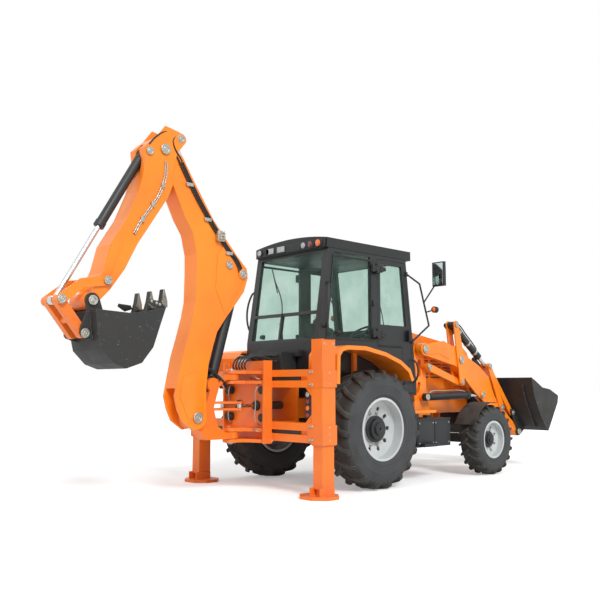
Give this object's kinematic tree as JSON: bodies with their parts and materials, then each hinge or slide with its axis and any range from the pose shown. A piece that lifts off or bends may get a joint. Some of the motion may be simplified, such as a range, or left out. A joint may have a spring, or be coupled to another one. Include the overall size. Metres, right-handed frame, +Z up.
{
  "type": "backhoe loader",
  "caption": "Side-shift backhoe loader: wheeled tractor with cab, loader arms and bucket in front, and a slewing boom, dipper and bucket on a sliding carriage behind.",
  "frame": {"origin": "middle of the overall box on the ground, between the wheels", "axes": "+X forward to the loader bucket, +Y to the machine's left, +Z up"},
  "size_m": [7.7328, 2.568, 4.0454],
  "materials": {
    "orange_paint": "gloss paint",
    "black_paint": "satin black paint",
    "bucket_paint": "worn black paint",
    "silver_paint": "silver paint",
    "tyre_rubber": "moulded rubber",
    "iron": "dark engine iron",
    "chrome_rod": "polished chrome",
    "pin_steel": "zinc plated",
    "black_plastic": "moulded black plastic",
    "seat_cloth": "dark woven cloth",
    "tinted_glass": "green tinted safety glass"
  },
  "bodies": {
    "chassis": {"main_frame": "orange_paint", "rear_frame": "orange_paint", "axles": "black_paint", "engine_block": "iron", "nose_grille": "black_paint", "cab_frame": "black_paint", "cab_roof": "black_paint", "cab_glass": "tinted_glass", "rear_fenders": "orange_paint", "side_boxes": "black_plastic", "seat": "seat_cloth", "consoles": "black_plastic", "mirrors_lamps": "black_plastic"},
    "bonnet": {"bonnet": "orange_paint"},
    "door_left": {"door_left": "black_paint", "door_glass_left": "tinted_glass"},
    "wheel_rear_left": {"tyre_rear_left": "tyre_rubber", "rim_rear_left": "silver_paint"},
    "wheel_front_left": {"tyre_front_left": "tyre_rubber", "rim_front_left": "silver_paint"},
    "knuckle_left": {"steering_knuckle_left": "black_paint"},
    "stabiliser_left": {"stabiliser_leg_left": "orange_paint"},
    "slew_rod_left": {"slew_rod_left": "chrome_rod"},
    "door_right": {"door_right": "black_paint", "door_glass_right": "tinted_glass"},
    "wheel_rear_right": {"tyre_rear_right": "tyre_rubber", "rim_rear_right": "silver_paint"},
    "wheel_front_right": {"tyre_front_right": "tyre_rubber", "rim_front_right": "silver_paint"},
    "knuckle_right": {"steering_knuckle_right": "black_paint"},
    "stabiliser_right": {"stabiliser_leg_right": "orange_paint"},
    "slew_rod_right": {"slew_rod_right": "chrome_rod"},
    "carriage": {"carriage": "orange_paint", "carriage_rams": "black_paint"},
    "kingpost": {"kingpost": "orange_paint"},
    "boom": {"boom": "orange_paint"},
    "boom_ram_barrel": {"boom_ram_barrel": "black_paint"},
    "boom_ram_rod": {"boom_ram_rod": "chrome_rod"},
    "dipper": {"dipper": "orange_paint"},
    "dipper_ram_barrel": {"dipper_ram_barrel": "black_paint"},
    "dipper_ram_rod": {"dipper_ram_rod": "chrome_rod"},
    "backhoe_bucket": {"backhoe_bucket": "bucket_paint"},
    "bucket_ram_barrel": {"bucket_ram_barrel": "black_paint"},
    "bucket_ram_rod": {"bucket_ram_rod": "chrome_rod"},
    "tipping_levers": {"tipping_levers": "orange_paint"},
    "tipping_link": {"tipping_link": "orange_paint"},
    "loader_arms": {"loader_arms": "orange_paint"},
    "lift_ram_barrels": {"lift_ram_barrels": "black_paint"},
    "lift_ram_rods": {"lift_ram_rods": "chrome_rod"},
    "bell_cranks": {"bell_cranks": "orange_paint"},
    "crank_pins": {"crank_pins": "pin_steel"},
    "reaction_links": {"reaction_links": "orange_paint"},
    "tilt_ram_barrels": {"tilt_ram_barrels": "black_paint"},
    "tilt_ram_rods": {"tilt_ram_rods": "chrome_rod"},
    "lever_shafts": {"lever_shafts": "pin_steel"},
    "bucket_levers": {"bucket_levers": "orange_paint"},
    "tilt_pins": {"tilt_pins": "pin_steel"},
    "bucket_links": {"bucket_links": "orange_paint"},
    "bucket_hinge_pins": {"bucket_hinge_pins": "pin_steel"},
    "loader_bucket": {"loader_bucket": "bucket_paint"}
  },
  "joints": [
    {"name": "wheel_rear_left_spin", "type": "hinge", "parent": "chassis", "child": "wheel_rear_left", "pos_m": [-0.18859, 0.929, 0.7], "axis": [0, 1, 0], "continuous": true},
    {"name": "wheel_rear_right_spin", "type": "hinge", "parent": "chassis", "child": "wheel_rear_right", "pos_m": [-0.18859, -0.929, 0.7], "axis": [0, 1, 0], "continuous": true},
    {"name": "steer_left", "type": "hinge", "parent": "chassis", "child": "knuckle_left", "pos_m": [2.15141, 0.74, 0.475], "axis": [0, 0, 1], "range_deg": [-25, 25]},
    {"name": "wheel_front_left_spin", "type": "hinge", "parent": "knuckle_left", "child": "wheel_front_left", "pos_m": [2.15141, 0.978, 0.475], "axis": [0, 1, 0], "continuous": true},
    {"name": "steer_right", "type": "hinge", "parent": "chassis", "child": "knuckle_right", "pos_m": [2.15141, -0.74, 0.475], "axis": [0, 0, 1], "range_deg": [-25, 25]},
    {"name": "wheel_front_right_spin", "type": "hinge", "parent": "knuckle_right", "child": "wheel_front_right", "pos_m": [2.15141, -0.978, 0.475], "axis": [0, 1, 0], "continuous": true},
    {"name": "door_left_hinge", "type": "hinge", "parent": "chassis", "child": "door_left", "pos_m": [0.23141, 0.686, 2.2], "axis": [0, 0, 1], "range_deg": [0, 90]},
    {"name": "door_right_hinge", "type": "hinge", "parent": "chassis", "child": "door_right", "pos_m": [0.23141, -0.686, 2.2], "axis": [0, 0, -1], "range_deg": [0, 90]},
    {"name": "bonnet_hinge", "type": "hinge", "parent": "chassis", "child": "bonnet", "pos_m": [1.09941, 0, 1.939], "axis": [0, -1, 0], "range_deg": [0, 45]},
    {"name": "stabiliser_left_lift", "type": "slide", "parent": "chassis", "child": "stabiliser_left", "axis": [0, 0, 1], "range_m": [0, 0.4]},
    {"name": "stabiliser_right_lift", "type": "slide", "parent": "chassis", "child": "stabiliser_right", "axis": [0, 0, 1], "range_m": [0, 0.4]},
    {"name": "sideshift", "type": "slide", "parent": "chassis", "child": "carriage", "axis": [0, 1, 0], "range_m": [-0.6, 0.6]},
    {"name": "slew", "type": "hinge", "parent": "carriage", "child": "kingpost", "pos_m": [-1.58859, 0, 0], "axis": [0, 0, -1], "range_deg": [-90, 90]},
    {"name": "slew_rod_left_slide", "type": "slide", "parent": "carriage", "child": "slew_rod_left", "axis": [1, 0, 0], "range_m": [-0.1605, 0.1605]},
    {"name": "slew_rod_right_slide", "type": "slide", "parent": "carriage", "child": "slew_rod_right", "axis": [1, 0, 0], "range_m": [-0.1605, 0.1605]},
    {"name": "boom_lift", "type": "hinge", "parent": "kingpost", "child": "boom", "pos_m": [-2.15159, 0, 0.861], "axis": [0, 1, 0], "range_deg": [-110, 8]},
    {"name": "boom_ram_swing", "type": "hinge", "parent": "kingpost", "child": "boom_ram_barrel", "pos_m": [-1.90559, 0, 1.222], "axis": [0, 1, 0], "range_deg": [-118.15, 8.59]},
    {"name": "boom_ram_stroke", "type": "slide", "parent": "boom_ram_barrel", "child": "boom_ram_rod", "axis": [0.277, 0, 0.9609], "range_m": [-0.0516, 0.70956]},
    {"name": "dipper_reach", "type": "hinge", "parent": "boom", "child": "dipper", "pos_m": [-2.65252, 0, 3.77932], "axis": [0, 1, 0], "range_deg": [-5, 75]},
    {"name": "dipper_ram_swing", "type": "hinge", "parent": "boom", "child": "dipper_ram_barrel", "pos_m": [-1.73378, 0, 2.60011], "axis": [0, 1, 0], "range_deg": [-7.04, 0.47]},
    {"name": "dipper_ram_stroke", "type": "slide", "parent": "dipper_ram_barrel", "child": "dipper_ram_rod", "axis": [-0.4662, 0, 0.8847], "range_m": [-0.28629, 0.01909]},
    {"name": "backhoe_bucket_curl", "type": "hinge", "parent": "dipper", "child": "backhoe_bucket", "pos_m": [-3.48358, 0, 2.05405], "axis": [0, 1, 0], "range_deg": [-5, 150]},
    {"name": "tipping_lever_swing", "type": "hinge", "parent": "dipper", "child": "tipping_levers", "pos_m": [-3.32213, 0, 2.26709], "axis": [0, 1, 0], "range_deg": [-3.24, 97.08]},
    {"name": "tipping_link_swing", "type": "hinge", "parent": "tipping_levers", "child": "tipping_link", "pos_m": [-3.81442, 0, 2.04274], "axis": [0, 1, 0], "range_deg": [-45.67, 1.52]},
    {"name": "bucket_ram_swing", "type": "hinge", "parent": "dipper", "child": "bucket_ram_barrel", "pos_m": [-2.84755, 0, 3.72009], "axis": [0, 1, 0], "range_deg": [-0.16, 4.88]},
    {"name": "bucket_ram_stroke", "type": "slide", "parent": "bucket_ram_barrel", "child": "bucket_ram_rod", "axis": [-0.4994, 0, -0.8664], "range_m": [-0.8049, 0.02683]},
    {"name": "loader_lift", "type": "hinge", "parent": "chassis", "child": "loader_arms", "pos_m": [1.14141, 0, 1.7], "axis": [0, -1, 0], "range_deg": [-5, 68]},
    {"name": "lift_ram_swing", "type": "hinge", "parent": "chassis", "child": "lift_ram_barrels", "pos_m": [1.19141, 0, 1.06], "axis": [0, -1, 0], "range_deg": [-4.28, 58.16]},
    {"name": "lift_ram_stroke", "type": "slide", "parent": "lift_ram_barrels", "child": "lift_ram_rods", "axis": [0.9998, 0, 0.02], "range_m": [-0.04895, 0.66574]},
    {"name": "bell_crank_swing", "type": "hinge", "parent": "loader_arms", "child": "bell_cranks", "pos_m": [1.92607, 0, 1.57222], "axis": [0, -1, 0], "range_deg": [-56.16, 4.13]},
    {"name": "reaction_link_swing", "type": "hinge", "parent": "chassis", "child": "reaction_links", "pos_m": [1.24641, 0, 1.465], "axis": [0, -1, 0], "range_deg": [-5.52, 75.02]},
    {"name": "crank_pin_turn", "type": "hinge", "parent": "bell_cranks", "child": "crank_pins", "pos_m": [1.82908, 0, 2.06522], "axis": [0, -1, 0], "range_deg": [-4.2, 57.1]},
    {"name": "lever_shaft_turn", "type": "hinge", "parent": "loader_arms", "child": "lever_shafts", "pos_m": [2.94146, 0, 0.89045], "axis": [0, -1, 0], "range_deg": [-41.84, 3.08]},
    {"name": "bucket_pin_turn", "type": "hinge", "parent": "loader_arms", "child": "bucket_hinge_pins", "pos_m": [3.37642, 0, 0.5251], "axis": [0, -1, 0], "range_deg": [-69.27, 5.09]},
    {"name": "loader_bucket_tilt", "type": "hinge", "parent": "bucket_hinge_pins", "child": "loader_bucket", "pos_m": [3.37642, 0, 0.5251], "axis": [0, 1, 0], "range_deg": [0, 95]},
    {"name": "tilt_ram_swing", "type": "hinge", "parent": "crank_pins", "child": "tilt_ram_barrels", "pos_m": [1.82908, 0, 2.06522], "axis": [0, -1, 0], "range_deg": [0, 9.38]},
    {"name": "tilt_ram_stroke", "type": "slide", "parent": "tilt_ram_barrels", "child": "tilt_ram_rods", "axis": [0.8187, 0, -0.5742], "range_m": [0, 0.49453]},
    {"name": "bucket_lever_swing", "type": "hinge", "parent": "lever_shafts", "child": "bucket_levers", "pos_m": [2.94146, 0, 0.89045], "axis": [0, -1, 0], "range_deg": [-50.9, 0]},
    {"name": "tilt_pin_turn", "type": "hinge", "parent": "bucket_levers", "child": "tilt_pins", "pos_m": [2.64146, 0, 1.49545], "axis": [0, -1, 0], "range_deg": [-2.06, 28.04]},
    {"name": "bucket_link_swing", "type": "hinge", "parent": "tilt_pins", "child": "bucket_links", "pos_m": [2.64146, 0, 1.49545], "axis": [0, -1, 0], "range_deg": [0, 34.23]}
  ],
  "couplings": [
    {"joint": "steer_right", "follows": "steer_left", "ratio": 1},
    {"joint": "slew_rod_left_slide", "follows": "slew", "m_per_rad": 0.10186},
    {"joint": "slew_rod_right_slide", "follows": "slew", "m_per_rad": -0.10186},
    {"joint": "boom_ram_swing", "follows": "boom_lift", "ratio": 1.053},
    {"joint": "boom_ram_stroke", "follows": "boom_lift", "m_per_rad": -0.36234},
    {"joint": "dipper_ram_swing", "follows": "dipper_reach", "ratio": -0.091971},
    {"joint": "dipper_ram_stroke", "follows": "dipper_reach", "m_per_rad": -0.21442},
    {"joint": "tipping_lever_swing", "follows": "backhoe_bucket_curl", "ratio": 0.6345},
    {"joint": "tipping_link_swing", "follows": "backhoe_bucket_curl", "ratio": -0.29851},
    {"joint": "bucket_ram_swing", "follows": "backhoe_bucket_curl", "ratio": 0.031873},
    {"joint": "bucket_ram_stroke", "follows": "backhoe_bucket_curl", "m_per_rad": -0.30142},
    {"joint": "lift_ram_swing", "follows": "loader_lift", "ratio": 0.83847},
    {"joint": "lift_ram_stroke", "follows": "loader_lift", "m_per_rad": 0.54994},
    {"joint": "bell_crank_swing", "follows": "loader_lift", "ratio": -0.80964},
    {"joint": "reaction_link_swing", "follows": "loader_lift", "ratio": 1.0815},
    {"joint": "crank_pin_turn", "follows": "loader_lift", "ratio": 0.82327},
    {"joint": "lever_shaft_turn", "follows": "loader_lift", "ratio": -0.60327},
    {"joint": "bucket_pin_turn", "follows": "loader_lift", "ratio": -0.99875},
    {"joint": "tilt_pin_turn", "follows": "loader_lift", "ratio": 0.40431},
    {"joint": "tilt_ram_swing", "follows": "loader_bucket_tilt", "ratio": 0.096786},
    {"joint": "tilt_ram_stroke", "follows": "loader_bucket_tilt", "m_per_rad": 0.29241},
    {"joint": "bucket_lever_swing", "follows": "loader_bucket_tilt", "ratio": -0.52531},
    {"joint": "bucket_link_swing", "follows": "loader_bucket_tilt", "ratio": 0.35328}
  ]
}
